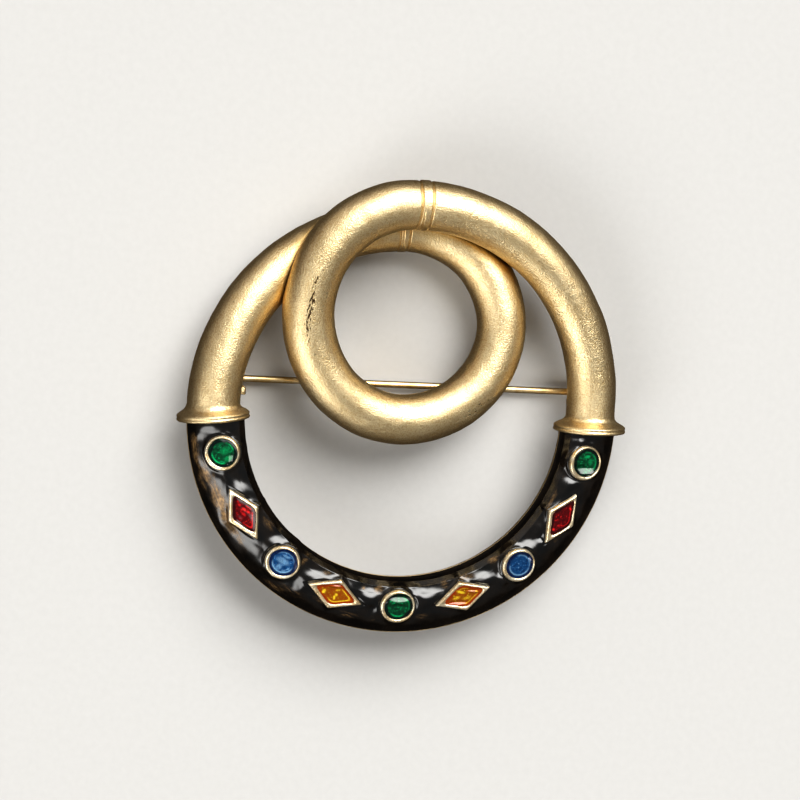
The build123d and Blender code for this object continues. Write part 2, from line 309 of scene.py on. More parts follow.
def satinGold():
    # sandblasted, champagne coloured gold plate with dark pits where the cast was porous, and with
    # painted warm reflection and painted shade where the scroll's turns cross
    f = goldFinish
    material, tree, shader, place = newMaterial("satin_gold", Metallic=1.0)
    patch = addNoise(tree, place, f["patch"], 2.0)
    grain = addNoise(tree, place, f["grain"], 2.0)
    fine = addNoise(tree, place, f["fineGrain"], 2.0)
    onTube = lengthwisePlace(tree, "around", f["pitStretch"])
    pitInputs = {"Vector": onTube, "Scale": 1 / f["pitSize"], "Detail": 1.0}
    pitNoise = addNode(tree, "TexNoise", pitInputs).outputs[0]
    pit = addRange(tree, addScaled(tree, pitNoise, readValue(tree, "pits"), f["pitZone"]), *f["pitEdge"])
    tone = addScaled(tree, addScaled(tree, fine, grain, f["grainTone"]), patch, f["patchTone"])
    colour = addMix(tree, addRange(tree, tone, *f["toneRange"]), f["deep"], f["bright"])
    gap = readValue(tree, "gap")
    # the fork and the catch carry no gap, so theirs is 0
    hasGap = addMath(tree, "GREATER_THAN", addMath(tree, "ABSOLUTE", gap), 0.0001)
    valleyReflection = addMath(tree, "MULTIPLY", hasGap, addRange(tree, gap, *f["valleyReflectionFade"]))
    seamShade = addMath(tree, "MULTIPLY", hasGap, addRange(tree, gap, *f["seamShadeFade"]))
    # painted warm reflection in the crease between the crossing turns
    colour = addMix(tree, valleyReflection, colour, f["valleyReflection"])
    # dark pits, and painted shade along the join of the crossing turns
    colour = addMix(tree, addMath(tree, "MAXIMUM", pit, seamShade), colour, f["grimeAndSeamShade"])
    feed(tree, shader, Base_Color=colour, Roughness=spreadNoise(tree, fine, *f["roughness"]))
    wrinkle = addNoise(tree, place, f["wrinkleSize"])
    crease = addMath(tree, "MULTIPLY", readValue(tree, "wrinkles"), wrinkle)
    height = addScaled(tree, grain, fine, f["fineShare"])
    height = addScaled(tree, height, crease, f["creaseShare"])
    addRelief(tree, shader, addScaled(tree, height, pit, f["pitShare"]), f["grainHeight"])
    return material


smoothFinish = {
    "patch": 1.1,             # size of the slow changes of colour
    "patchEdge": (0.35, 0.65),
    "scratched": (0.7, 1.4),  # shares of the roughness between and on the scratches
    "golds": {
        # roughness, bright and deep colour, metal share, size and height of the unevenness
        "cast_gold": (0.42, (0.60, 0.46, 0.27, 1), (0.42, 0.31, 0.17, 1), 1.0, 0.12, 0.005),
        "bezel_gold": (0.34, (1.0, 0.91, 0.70, 1), (0.90, 0.68, 0.38, 1), 0.9, 0.26, 0.05),
        "pin_gold": (0.38, (0.95, 0.76, 0.45, 1), (0.80, 0.56, 0.25, 1), 1.0, 0.12, 0.005),
        "rivet_gold": (0.20, (0.95, 0.76, 0.45, 1), (0.80, 0.56, 0.25, 1), 1.0, 0.12, 0.005),
    },
}


def smoothGold(name):
    # smooth gold plate with faint scratches and slow patches of colour
    f = smoothFinish
    roughness, bright, deep, metal, size, height = f["golds"][name]
    material, tree, shader, place = newMaterial(name, Metallic=metal)
    patch = addRange(tree, addNoise(tree, place, f["patch"]), *f["patchEdge"])
    scratch = addNoise(tree, place, size)
    plain, scratched = f["scratched"]
    feed(tree, shader, Base_Color=addMix(tree, patch, deep, bright),
         Roughness=spreadNoise(tree, scratch, roughness * plain, roughness * scratched))
    addRelief(tree, shader, scratch, height)
    return material


blackFinish = {
    "glassIndex": 1.66,
    "streakStretch": 3.5,     # streaks are this many times longer along the arc than across it
    "streaks": {"Scale": 1.7, "Detail": 2.5, "Roughness": 0.5, "Distortion": 0.8},
    "streakEdge": (0.36, 0.66),   # noise at which a streak begins, and at which it is full
    "hidden": 0.08,           # what is weaker than this doesn't show
    "specks": {"Scale": 9.0, "Detail": 2.0},
    "speckEdge": (0.35, 0.7),
    "brown": (0.06, 0.03, 0.010, 1),
    "gold": (0.40, 0.24, 0.09, 1),
    "cloud": 1.8,             # size of the slow change from black to a warmer black
    "cloudEdge": (0.4, 0.7),
    "black": (0.0006, 0.0006, 0.0008, 1),
    "warmBlack": (0.008, 0.005, 0.003, 1),
    "metal": (0.0, 0.3),      # of plain enamel and of a full streak
    "roughness": (0.20, 0.38),
    "relief": (0.006, 0.6),   # height and strength
    "reliefSize": 0.5,
}


def blackEnamel():
    # near black glass enamel; where it is thin, streaks of the brown gold cast show through
    f = blackFinish
    material, tree, shader, place = newMaterial("black_enamel", IOR=f["glassIndex"])
    onArc = lengthwisePlace(tree, "out", f["streakStretch"])
    streak = addNode(tree, "TexNoise", {"Vector": onArc, **f["streaks"]}).outputs[0]
    speck = addNode(tree, "TexNoise", {"Vector": onArc, **f["specks"]}).outputs[0]
    shown = addMath(tree, "MULTIPLY", readValue(tree, "thin"), addRange(tree, streak, *f["streakEdge"]))
    share = addRange(tree, shown, f["hidden"], 1.0)
    streakColour = addMix(tree, addRange(tree, speck, *f["speckEdge"]), f["brown"], f["gold"])
    cloud = addRange(tree, addNoise(tree, place, f["cloud"]), *f["cloudEdge"])
    plainColour = addMix(tree, cloud, f["black"], f["warmBlack"])
    feed(tree, shader, Base_Color=addMix(tree, share, plainColour, streakColour),
         Metallic=addRange(tree, share, 0.0, 1.0, *f["metal"]),
         Roughness=addRange(tree, share, 0.0, 1.0, *f["roughness"]))
    addRelief(tree, shader, addNoise(tree, place, f["reliefSize"], 2.0), *f["relief"])
    return material


cellFinish = {
    "mottle": 0.34,           # size of the hammered floor's dimples
    "fine": 0.13,
    "mottleTone": (-0.45, 0.45),      # what the mottle adds to the glow
    "bodyRange": (0.05, 1.0),
    "sparkEdge": (0.35, 0.55, 0.5, 1.0),
    "fineFleck": 0.6,         # what the fine noise counts for in the flecks, beside the mottle's 1
    "fleckEdge": (0.90, 1.06),
    "roughness": (0.30, 0.50),
    "fineShare": 0.3,         # the fine noise's height as a share of the mottle's
    "reliefHeight": 0.10,
}


def clearEnamel(name, deep, body, light):
    # coloured glass over a hammered cup under a clear top: its colour is mottled at random, with
    # painted light that brightens its middle and painted shade that darkens its rim, painted highlights
    # as bright lines and spots, and bright flecks at random where the painted light is
    f = cellFinish
    material, tree, shader, place = newMaterial(
        name, Metallic=0.35, Specular_IOR_Level=0.0, Coat_Weight=1.0, Coat_Roughness=0.04, Coat_IOR=1.5)
    glow, glint = readValue(tree, "glow"), readValue(tree, "glint")
    mottle = addNoise(tree, place, f["mottle"], 3.0, 0.6)
    fine = addNoise(tree, place, f["fine"], 2.0)
    uneven = addMath(tree, "ADD", glow, spreadNoise(tree, mottle, *f["mottleTone"]))
    colour = addMix(tree, addRange(tree, uneven, *f["bodyRange"]), deep, body)
    # painted highlights: gleams and spots, and bright flecks where the painted light is
    spark = addMath(tree, "MULTIPLY", glint, addRange(tree, fine, *f["sparkEdge"]))
    fleck = addRange(tree, addScaled(tree, mottle, fine, f["fineFleck"]), *f["fleckEdge"])
    spark = addMath(tree, "MAXIMUM", spark, addMath(tree, "MULTIPLY", fleck, glow))
    feed(tree, shader, Base_Color=addMix(tree, spark, colour, light),
         Roughness=spreadNoise(tree, fine, *f["roughness"]))
    addRelief(tree, shader, addScaled(tree, mottle, fine, f["fineShare"]), f["reliefHeight"])
    return material


satin = satinGold()
castGold, frameGold, pinGold, rivetGold = (smoothGold(name) for name in smoothFinish["golds"])
enamelBlack = blackEnamel()
print("finishes made")


# Scroll tube

scroll = {
    "armReach": 21.2,
    "armStraight": 2.4,
    "frontTop": 23.6,
    "frontRise": 1.6,
    "rearDrop": 2.755,
    "loopHeight": 21.1,
    "loopFoot": -0.25,
    "loopReachLeft": 11.3,
    "loopReachRight": 11.05,
    "loopShiftLeft": -0.2,
    "loopShift": -0.4,
    "leftArmStart": 0.6,
    "leftDrop": 0.25,
    "leftTilt": 6.0,
    "rimFoot": -0.8,
    # at the ends of the quarter turns: the level as shares of frontRise and of rearDrop, and its
    # slope as a share of rearDrop
    "risen": [0, 1, 0.78, 0.06, 0, 0, 0],
    "dropped": [0, 0, 0, 0, 0.39, 1, 0],
    "slopes": [0, 0, -0.35, -0.42, -0.46, 0, 0],
    "routePoints": (200, 3600, 100, 100),      # right arm, quarter turns, left arm, left rim
    "headingPoints": 41,      # the heading is averaged over this many points
    "step": 0.27,
    "fineStep": 0.055,
    "stepPoints": 4000,
    "places": 108,
    "radiusTurns": [0, 0.6, 1, 1.5, 2, 2.5, 3, 3.6, 4.2, 5, 5.5, 6],
    "radii": [2.72, 2.73, 2.75, 2.82, 2.88, 2.86, 2.78, 2.74, 2.73, 2.75, 2.80, 2.93],
    "rimFaces": [0.08, 0.35, 0.7, 0.94],       # the flat faces of the rims, drawn in to the middle
    "collarLevels": [-0.8, -0.77, -0.71, -0.62, -0.53, -0.45, -0.38, -0.30, -0.20, -0.10, 0.0, 0.10,
                     0.22, 0.35, 0.5, 0.68, 0.86, 1.1],
    "collarRadii": [3.72, 3.88, 3.98, 4.03, 4.03, 3.98, 3.95, 3.99, 4.01, 3.96, 3.84, 3.67, 3.44,
                    3.20, 3.00, 2.86, 2.78, 2.75],
    "collarBlend": (-0.15, 0.7),
    "leanBlend": 0.7,
    "dents": [(0.018, 4.5, 11), (0.006, 1.1, 12)],     # height, wavelength, seed
    "smoothEnds": (0.6, 2.0),
    # rougher and pitted stretches: middle and reach in quarter turns, side and reach in degrees
    # round the tube, how far the side sways, share
    "wrinkles": [(0.62, 0.16, 150, 30, 0, 1.0), (4.62, 0.22, 70, 40, 0, 0.7),
                 (3.4, 0.35, 55, 30, 0, 0.8), (1.05, 0.10, 150, 25, 0, 0.5),
                 (2.2, 0.5, 120, 20, 0, 0.35)],
    "pits": [(1.98, 0.27, 82, 7, 5, 1.0), (1.9, 0.12, 118, 9, 0, 0.5), (3.45, 0.15, 60, 16, 0, 0.6)],
    "sways": 14,              # a side sways by the sine of this many times the quarter turn
}
bands = {
    "frontAt": 0.48,
    "rearAt": -0.95,
    "halfWidth": 0.60,
    "rise": 0.06,
    "riseSteepness": 2.2,
    "grooveDepth": 0.27,
    "grooveWidth": 0.08,
    "grooveBend": (100, 165, 165, 230, 0.3),   # one groove bends aside on the inner side of the turn
    "scribeAt": 0.24,
    "shortAt": 0.30,          # the short line scribed on the front band
    "shortEnds": (95, 120, 170, 190),          # in degrees round the tube
    "scribeDepth": 0.20,
    "scribeWidth": 0.065,
}


def scrollCentres(turns):
    # Quarter turns counted from the right arm. Seen from the front each is a quarter of an ellipse,
    # and its height is a cubic between the levels and slopes at its two ends.
    s = scroll
    leftHalf, rightHalf = (s["frontTop"] - s["loopFoot"]) / 2, s["loopHeight"] / 2
    rearTop = s["loopFoot"] + s["loopHeight"]
    # how far each quarter reaches sideways, its middle's height and its reach up from there
    quarters = np.array([
        (s["armReach"], s["armStraight"], s["frontTop"] - s["armStraight"]),
        (s["loopReachLeft"], s["frontTop"] - leftHalf, leftHalf),
        (s["loopReachLeft"], s["frontTop"] - leftHalf, leftHalf),
        (s["loopReachRight"], rearTop - rightHalf, rightHalf),
        (s["loopReachRight"], rearTop - rightHalf, rightHalf),
        (s["armReach"] + s["loopShift"], s["leftArmStart"], rearTop - s["leftArmStart"]),
    ])
    levels = np.array(s["risen"]) * s["frontRise"]
    levels -= np.array(s["dropped"]) * s["rearDrop"]
    slopes = np.array(s["slopes"]) * s["rearDrop"]
    quarter = np.clip(turns.astype(int), 0, 5)
    share = turns - quarter
    ease = smoothStep(share, 0, 1)
    z = levels[quarter] * (1 - ease) + levels[quarter + 1] * ease
    z += slopes[quarter] * share * (1 - share) ** 2 + slopes[quarter + 1] * share**2 * (share - 1)
    slide = s["loopShiftLeft"] * smoothStep(turns, 0.7, 1.3)
    slide += (s["loopShift"] - s["loopShiftLeft"]) * smoothStep(turns, 2.5, 3.5)
    angle = turns * np.pi / 2
    reachX, middleY, reachY = quarters[quarter].T
    return np.stack([slide + reachX * np.cos(angle), middleY + reachY * np.sin(angle), z], -1)


def uprightLine(x, heights):
    return np.stack([np.full(len(heights), x), heights, np.zeros(len(heights))], -1)


def scrollRoute():
    # The tube's centre line from the rim on the right to the rim on the left: its points, the
    # quarter turn at each, the distance along the line and the heading, averaged over neighbours.
    s = scroll
    arm, quarters, foot, rim = s["routePoints"]
    tilt = math.radians(s["leftTilt"])
    down = np.array([math.sin(tilt), -math.cos(tilt), 0])
    pivot = np.array([-s["armReach"], -s["leftDrop"], 0])
    turns = np.linspace(0, 6, quarters, endpoint=False)
    route = np.vstack([
        uprightLine(s["armReach"], np.linspace(s["rimFoot"], s["armStraight"], arm, endpoint=False)),
        scrollCentres(turns),
        uprightLine(-s["armReach"], np.linspace(s["leftArmStart"], -s["leftDrop"], foot, endpoint=False)),
        pivot + np.linspace(0, -s["rimFoot"], rim)[:, None] * down,
    ])
    routeTurns = np.concatenate([np.zeros(arm), turns, np.full(foot + rim, 6.0)])
    travel = np.concatenate([[0], np.cumsum(np.linalg.norm(np.diff(route, axis=0), axis=1))])
    heading = np.gradient(route, travel, axis=0)
    kernel = np.hanning(s["headingPoints"]) / np.hanning(s["headingPoints"]).sum()
    for axis in range(3):
        padded = np.pad(heading[:, axis], s["headingPoints"] // 2, mode="edge")
        heading[:, axis] = np.convolve(padded, kernel, mode="valid")
    return route, routeTurns, travel, heading


def scrollStations(length, bandPlaces):
    # Distances of the profiles along the tube, closer together at the two collars and the two bands,
    # and the share by which each profile is drawn in, which closes the flat faces of the rims.
    s = scroll
    marks = np.linspace(0, length, s["stepPoints"])
    collar = s["collarLevels"][-1] - s["rimFoot"]
    close = (marks < collar) | (marks > length - collar)
    for at in bandPlaces:
        close |= np.abs(marks - at) < bands["halfWidth"] + 0.3
    density = np.where(close, 1 / s["fineStep"], 1 / s["step"])
    counted = np.concatenate([[0], np.cumsum(density[:-1] * np.diff(marks))])
    d = np.interp(np.linspace(0, counted[-1], int(counted[-1])), counted, marks)
    faces = s["rimFaces"]
    shrink = np.concatenate([faces, np.ones(len(d)), faces[::-1]])
    return np.concatenate([np.zeros(len(faces)), d, np.full(len(faces), length)]), shrink


def scrollRadius(d, fromLeftFoot, turn, face, bandPlaces):
    # The tube's radius at distance d and at face degrees round it, without its dents. Each collar
    # flares it, and each band is a low rise between two grooves with a line scribed beside its middle.
    s, b = scroll, bands
    radius = smoothCurve(turn, s["radiusTurns"], s["radii"])
    for fromFoot in (d, fromLeftFoot):
        level = fromFoot + s["rimFoot"]
        flare = smoothCurve(level, s["collarLevels"], s["collarRadii"])
        grown = (radius - s["collarRadii"][-1]) * smoothStep(level, *s["collarBlend"])
        radius = np.where(level < s["collarLevels"][-1], flare + grown, radius)
    radius = np.repeat(radius[:, None], face.shape[1], axis=1)
    for at, front in zip(bandPlaces, (True, False)):
        away = (d - at)[:, None]
        inside = np.clip(1 - (away / (b["halfWidth"] - 0.05)) ** 2, 0, None)
        radius += b["rise"] * np.minimum(1, b["riseSteepness"] * inside)
        bend = plateau(face, *b["grooveBend"]) if front else 0
        radius -= b["grooveDepth"] * bump(away, b["halfWidth"] + bend, b["grooveWidth"])
        radius -= b["grooveDepth"] * bump(away, -b["halfWidth"], b["grooveWidth"])
        scribed = plateau(face, *b["shortEnds"]) if front else 1
        scribeAt = b["shortAt"] if front else b["scribeAt"]
        radius -= b["scribeDepth"] * scribed * bump(away, scribeAt, b["scribeWidth"])
    return radius


def tubePatches(turn, face, rows):
    # one bell over the tube's skin for each row of a table of stretches
    return [
        share * bump(turn, middle, reach) * bump(face, side + sway * np.sin(turn * scroll["sways"]), width)
        for middle, reach, side, width, sway, share in rows
    ]


def gapBetween(surface, turn, centre, radius):
    # How far each place on the tube is from the skin of the turn that crosses it: the distance to
    # that turn's centre line less its radius. It is large where nothing is near.
    gap = np.full(surface.shape[:2], 9.0)
    front, rear = (turn > 0.3) & (turn < 2.3), turn > 4.0
    for mine, other in ((front, rear), (rear, front)):
        points, line = surface[mine].reshape(-1, 3), centre[other]
        squares = (points**2).sum(1)[:, None] + (line**2).sum(1) - 2 * points @ line.T
        nearest = np.sqrt(np.clip(squares.min(axis=1), 0, None)) - radius[other].mean()
        gap[mine] = nearest.reshape(-1, surface.shape[1])
    return gap


def makeScrollTube():
    # A circle of changing radius carried along the scroll: point = centre(d) + radius(d, a) *
    # (cos a * outward + sin a * upward), with d the distance along the tube and a the place round
    # it, 0 on the outer side of the turn and 90 degrees on the face.
    s = scroll
    route, routeTurns, travel, heading = scrollRoute()
    bandPlaces = []
    for at, turn in ((bands["frontAt"], 1), (bands["rearAt"], 5)):
        near = np.abs(routeTurns - turn) < 0.3
        bandPlaces.append(np.interp(-at, -route[near, 0], travel[near]))
    d, shrink = scrollStations(travel[-1], bandPlaces)
    fromLeftFoot = travel[-1] - d

    centre = np.stack([np.interp(d, travel, route[:, k]) for k in range(3)], -1)
    forward = np.stack([np.interp(d, travel, heading[:, k]) for k in range(3)], -1)
    turn = np.interp(d, travel, routeTurns)
    leanFrom = s["collarLevels"][-1] - s["rimFoot"] + s["leanBlend"]
    lean = math.radians(s["leftTilt"]) * smoothStep(-fromLeftFoot, -leanFrom, s["rimFoot"])
    leftEnd = fromLeftFoot < leanFrom
    forward[leftEnd] = np.stack([np.sin(lean), -np.cos(lean), 0 * lean], -1)[leftEnd]
    forward = unit(forward)
    outward = unit(np.cross(forward, [0, 0, 1]))
    upward = np.cross(outward, forward)

    a = fullTurn(s["places"])
    spokes = np.cos(a)[None, :, None] * outward[:, None] + np.sin(a)[None, :, None] * upward[:, None]
    face = a[None, :] * 180 / np.pi
    radius = scrollRadius(d, fromLeftFoot, turn, face, bandPlaces)
    surface = centre[:, None] + radius[..., None] * spokes
    quiet = smoothStep(np.minimum(d, fromLeftFoot), *s["smoothEnds"])[:, None]
    radius += quiet * waver(surface, s["dents"])
    surface = centre[:, None] + (radius * shrink[:, None])[..., None] * spokes
    surface[..., 2] = np.maximum(surface[..., 2], -ring["floorDepth"])

    roundTube = s["collarRadii"][-1] * np.abs(a - np.pi / 2)
    values = {
        "pits": np.max(tubePatches(turn[:, None], face, s["pits"]), axis=0),
        "gap": gapBetween(surface, turn, centre, radius.mean(axis=1)),
        "wrinkles": sum(tubePatches(turn[:, None], face, s["wrinkles"])),
        "along": np.repeat(d[:, None], len(a), axis=1),
        "around": np.repeat(roundTube[None], len(d), axis=0),
    }
    return gridPiece("scroll_surface", {"points": surface, "values": values})


dress(makeScrollTube(), satin, "brooch", "gold_metal", "scroll_tube")


# Hinge fork and catch on the back of the scroll

findings = {
    "pinHeight": 3.05,
    "pinDepth": 4.625,
    "hingeX": 20.5,
    "cheekRadius": 1.0,
    "cheekPlace": 1.13,
    "cheekHalf": 0.3,
    "weldHeight": 2.975,
    "webHalf": 0.85,
    "webFoot": 1.2,
    "catchEnd": 17.4,
    "catchLength": 4.2,
    "legLength": 2.6,
    "slotHalf": 0.675,
    "spine": 0.8,
    "leg": 0.55,
    "overlap": 0.1,           # what the catch's bridge goes into its two sides
    "edge": 0.09,
    "corner": 0.12,
    "catchCorner": 0.3,
}
hinge = np.array([findings["hingeX"], findings["pinHeight"], -findings["pinDepth"]])


def slab(outline, centre, half, edge):
    # A flat plate across the y axis: its outline, x and z, carried through its thickness, drawn in
    # by a quarter circle of radius edge at both faces and then to the middle of each face.
    quarter = np.radians([90, 60, 30, 0])
    drawIn = edge * (1 - np.cos(quarter))
    rise = half - edge + edge * np.sin(quarter)
    reach = np.abs(outline).max(axis=0)
    rows = [(0.05, edge, half), (0.6, edge, half)]
    rows += [(1, inset, level) for inset, level in zip(drawIn, rise)]
    rows += [(shape, inset, -level) for shape, inset, level in rows[::-1]]
    stations = []
    for shape, inset, level in rows:
        flat = outline * (1 - inset / reach) * shape
        stations.append(centre + np.stack([flat[:, 0], np.full(len(flat), level), flat[:, 1]], -1))
    return {"points": np.array(stations)}


def roundedRectangle(halfWidth, halfHeight, corner, places=64):
    # the corner circles' points joined by straight sides
    around = circle(fullTurn(places) + np.pi / places)
    return np.sign(around) * [halfWidth - corner, halfHeight - corner] + corner * around


def block(low, high, corner=findings["corner"]):
    # rounded block between two corners
    half = (high - low) / 2
    outline = roundedRectangle(half[0], half[2], min(corner, half[0] * 0.6, half[2] * 0.6))
    return slab(outline, (low + high) / 2, half[1], min(findings["edge"], half[1] * 0.6))


def makeFindings():
    # A cheek is a half circle below straight sides that reach up to the tube, two cheeks and a web
    # make the fork, and the catch is an open slot between a spine and a shorter leg.
    f = findings
    bottom = f["cheekRadius"] * circle(np.linspace(np.pi, 2 * np.pi, 40))
    side = np.array([[f["cheekRadius"], z] for z in np.linspace(0.2, f["weldHeight"], 14)])
    outline = np.vstack([bottom, side, (side * [-1, 1])[::-1]])
    middle = np.array([0, (f["weldHeight"] - f["cheekRadius"]) / 2])
    fork = [slab(outline - middle, hinge + [0, y, middle[1]], f["cheekHalf"], f["edge"])
            for y in (-f["cheekPlace"], f["cheekPlace"])]
    fork.append(block(hinge + [-f["cheekRadius"], -f["webHalf"], f["webFoot"]],
                      hinge + [f["cheekRadius"], f["webHalf"], f["weldHeight"]]))
    start = np.array([-f["catchEnd"], f["pinHeight"], -f["pinDepth"]])
    far, legEnd = -f["catchLength"], f["legLength"] - f["catchLength"]
    spine = block(start + [far, -f["slotHalf"] - f["spine"], -f["cheekRadius"]],
                  start + [0, -f["slotHalf"], f["weldHeight"]], f["catchCorner"])
    leg = block(start + [far, f["slotHalf"], -f["cheekRadius"]],
                start + [legEnd, f["slotHalf"] + f["leg"], f["weldHeight"]], f["catchCorner"])
    bridge = block(start + [far, -f["slotHalf"] - f["overlap"], f["slotHalf"]],
                   start + [legEnd, f["slotHalf"] + f["overlap"], f["weldHeight"]])
    return gridPiece("hinge_fork", *fork), gridPiece("pin_catch", spine, leg, bridge)


for finding in makeFindings():
    dress(finding, satin, "brooch", "gold_metal", "scroll_tube")


# Pin and its rivet

pin = {
    "radius": 0.375,
    "barrelRadius": 0.95,
    "barrelHalf": 0.75,
    "barrelEdge": 0.12,
    "bore": 0.45,
    "wireFoot": 0.7,          # where the wire begins, in the wall of the barrel
    "reach": 43.6,
    "point": 6.5,
    "taper": 1.3,
    "tip": 0.125,
    "rivetRadius": 0.4,
    "rivetHalf": 1.45,
    "headRadius": 0.7,
    "headThickness": 0.25,
}


def turned(profile, centre, axis, start, places):
    # surface of revolution whose profile rows are (distance along the axis, radius)
    axis, start, profile = (np.array(v, float) for v in (axis, start, profile))
    side = np.cross(axis, start)
    spoke = circle(fullTurn(places)) @ [start, side]
    return centre + profile[:, :1, None] * axis + profile[:, 1:, None] * spoke


def makeStem():
    # The wire starts in the wall of its barrel, tapers over its point and is rounded at its end. The
    # barrel's section is a rectangle round the bore, its four edges rounded by quarter circles.
    p = pin
    shoulder = p["reach"] - p["point"]
    lengths = np.concatenate([np.linspace(p["wireFoot"], shoulder, 90),
                              np.linspace(shoulder, p["reach"] - 0.1, 40)[1:]])
    taper = np.clip((lengths - p["reach"] + p["point"]) / p["point"], 0, 1)
    radii = p["radius"] + (p["tip"] - p["radius"]) * taper ** p["taper"]
    wire = np.vstack([[p["wireFoot"] - 0.05, 0.2], np.stack([lengths, radii], -1),
                      [p["reach"] - 0.03, p["tip"] * 0.7], [p["reach"], 0.03]])
    corner = np.radians(np.arange(0, 91, 30))
    rise = p["barrelHalf"] - p["barrelEdge"] + p["barrelEdge"] * np.sin(corner)
    drawIn = p["barrelEdge"] * (1 - np.cos(corner))
    outer, inner = p["barrelRadius"] - drawIn, p["bore"] + drawIn
    barrel = np.vstack([
        np.stack([rise, outer], -1),
        np.stack([rise, inner], -1)[::-1],
        np.stack([-rise, inner], -1),
        np.stack([-rise, outer], -1)[::-1],
    ])
    return gridPiece("pin_wire", {"points": turned(wire, hinge, (-1, 0, 0), (0, 1, 0), 32)},
                     {"points": turned(barrel, hinge, (0, 1, 0), (1, 0, 0), 48), "ring": True})


def makeRivet():
    # a shank with a domed head at each end
    face = pin["rivetHalf"]
    dome = np.radians(np.arange(0, 91, 15))
    head = np.stack([face + pin["headThickness"] * np.cos(dome), pin["headRadius"] * np.sin(dome)], -1)
    head[0, 1] = 0.02
    shank = [[face, pin["rivetRadius"]], [-face, pin["rivetRadius"]]]
    profile = np.vstack([head, shank, (head * [-1, 1])[::-1]])
    return gridPiece("rivet", {"points": turned(profile, hinge, (0, 1, 0), (1, 0, 0), 32)})


dress(makeStem(), pinGold, "pin", "pin_metal", "pin_stem")
dress(makeRivet(), rivetGold, "brooch", "pin_metal", "hinge_rivet")


# Settings along the arc

settings = {
    "spacing": 19.6,
    "place": 20.85,
    "level": 2.85,
    "lean": 16.0,
    "roundRadius": 1.98,
    "lozengeHalfLength": 3.32,
    "lozengeHalfWidth": 1.88,
    "cornerRound": 0.16,
    "mouthRound": 0.75,       # the corners of a lozenge's mouth are rounder than its outer ones
    "places": 120,
    "wobble": 0.07,
    # the waver's waves: inset where they are highest, their reach, their share, places they shift by
    "waves": [(0.40, 0.14, 1, 0), (0.0, 0.08, 0.4, 31)],
    "waverFoot": -0.6,        # below this level there is none
    "mouthInsets": (0.12, 0.38),      # where the outer form turns into the mouth's
    "heavySide": 215.0,       # the rims are thicker on this side, in degrees on the photo's page
    "heavy": 0.10,
}
# colour, kind, and how many degrees each stands off an even spacing
stones = [
    ("green", "round", 0.7), ("red", "lozenge", 1.0), ("blue", "round", 0.7),
    ("amber", "lozenge", 0.1), ("green", "round", 0.6), ("amber", "lozenge", 1.5),
    ("blue", "round", 1.6), ("red", "lozenge", 1.4), ("green", "round", 0.4),
]
lozengeSide = math.hypot(settings["lozengeHalfLength"], settings["lozengeHalfWidth"])
lozengeInner = settings["lozengeHalfLength"] * settings["lozengeHalfWidth"] / lozengeSide


def settingFrame(number):
    # middle of a setting's rim, and its directions along the ring, across it and out of its face
    spread = (number - (len(stones) - 1) / 2) * settings["spacing"] + stones[number][2]
    turn, lean = math.radians(spread), math.radians(settings["lean"])
    middle = np.array([settings["place"] * math.sin(turn), -settings["place"] * math.cos(turn),
                       settings["level"]])
    along = np.array([math.cos(turn), math.sin(turn), 0])
    normal = np.array([math.sin(lean) * math.sin(turn), -math.sin(lean) * math.cos(turn),
                       math.cos(lean)])
    return middle, along, np.cross(normal, along), normal


def settingOutline(kind, cornerRound):
    # circle, or lozenge with rounded corners, and the distance from its middle to its nearest edge
    share = np.arange(settings["places"]) / settings["places"]
    if kind == "round":
        return settings["roundRadius"] * circle(2 * np.pi * share), settings["roundRadius"]
    length, width = settings["lozengeHalfLength"], settings["lozengeHalfWidth"]
    corners = np.array([[length, 0], [0, width], [-length, 0], [0, -width], [length, 0]])
    blur = cornerRound / (4 * lozengeSide)
    return blurredLine(corners, np.arange(5) / 4, share, blur, closed=True), lozengeInner


def settingRows(number, rows):
    # Rows are (inset from the rim's outer edge, height over the rim). The outline shrinks towards
    # its middle by the inset, and its mouth has rounder corners, is a little off its middle and
    # wavers by a few seeded waves.
    middle, along, across, normal = settingFrame(number)
    kind = stones[number][1]
    outline, inner = settingOutline(kind, settings["cornerRound"])
    mouth, _ = settingOutline(kind, settings["mouthRound"])
    rows = np.array(rows, float)
    inset, height = rows[:, :1], rows[:, 1:]
    random = np.random.default_rng(40 + number)
    angle = 2 * np.pi * np.arange(len(outline)) / len(outline)
    waves = np.zeros(len(outline))
    for order in range(2, 9):
        waves += random.normal() / order**0.7 * np.cos(order * angle + random.uniform(0, 2 * np.pi))
    rim = height > settings["waverFoot"]
    wobble = sum(bump(inset, at, reach) * rim * share * np.roll(waves, shift)
                 for at, reach, share, shift in settings["waves"])
    scale = 1 - (inset + settings["wobble"] / 2 * wobble) / inner
    opened = smoothStep(inset, *settings["mouthInsets"])
    flat = scale[..., None] * ((1 - opened)[..., None] * outline + opened[..., None] * mouth)
    page = math.radians(settings["heavySide"])
    side = -settings["heavy"] * np.array([math.cos(page), math.sin(page), 0])
    flat = flat + opened[..., None] * [side @ along, side @ across]
    return middle + flat[..., :1] * along + flat[..., 1:] * across + height[..., None] * normal


# section of a setting, as rows of settingRows
bezelRows = [
    (1.5, -1.45), (0.6, -1.45), (0.0, -1.45), (0.0, -0.9), (0.005, -0.45), (0.015, -0.30),
    (0.04, -0.19), (0.075, -0.105), (0.12, -0.04), (0.175, -0.006), (0.23, 0.005), (0.29, -0.01),
    (0.34, -0.045), (0.38, -0.10), (0.405, -0.17), (0.42, -0.28), (0.42, -0.5), (0.52, -0.54),
    (0.75, -0.55), (0.76, -0.7), (0.76, -0.85), (1.2, -0.85),
]


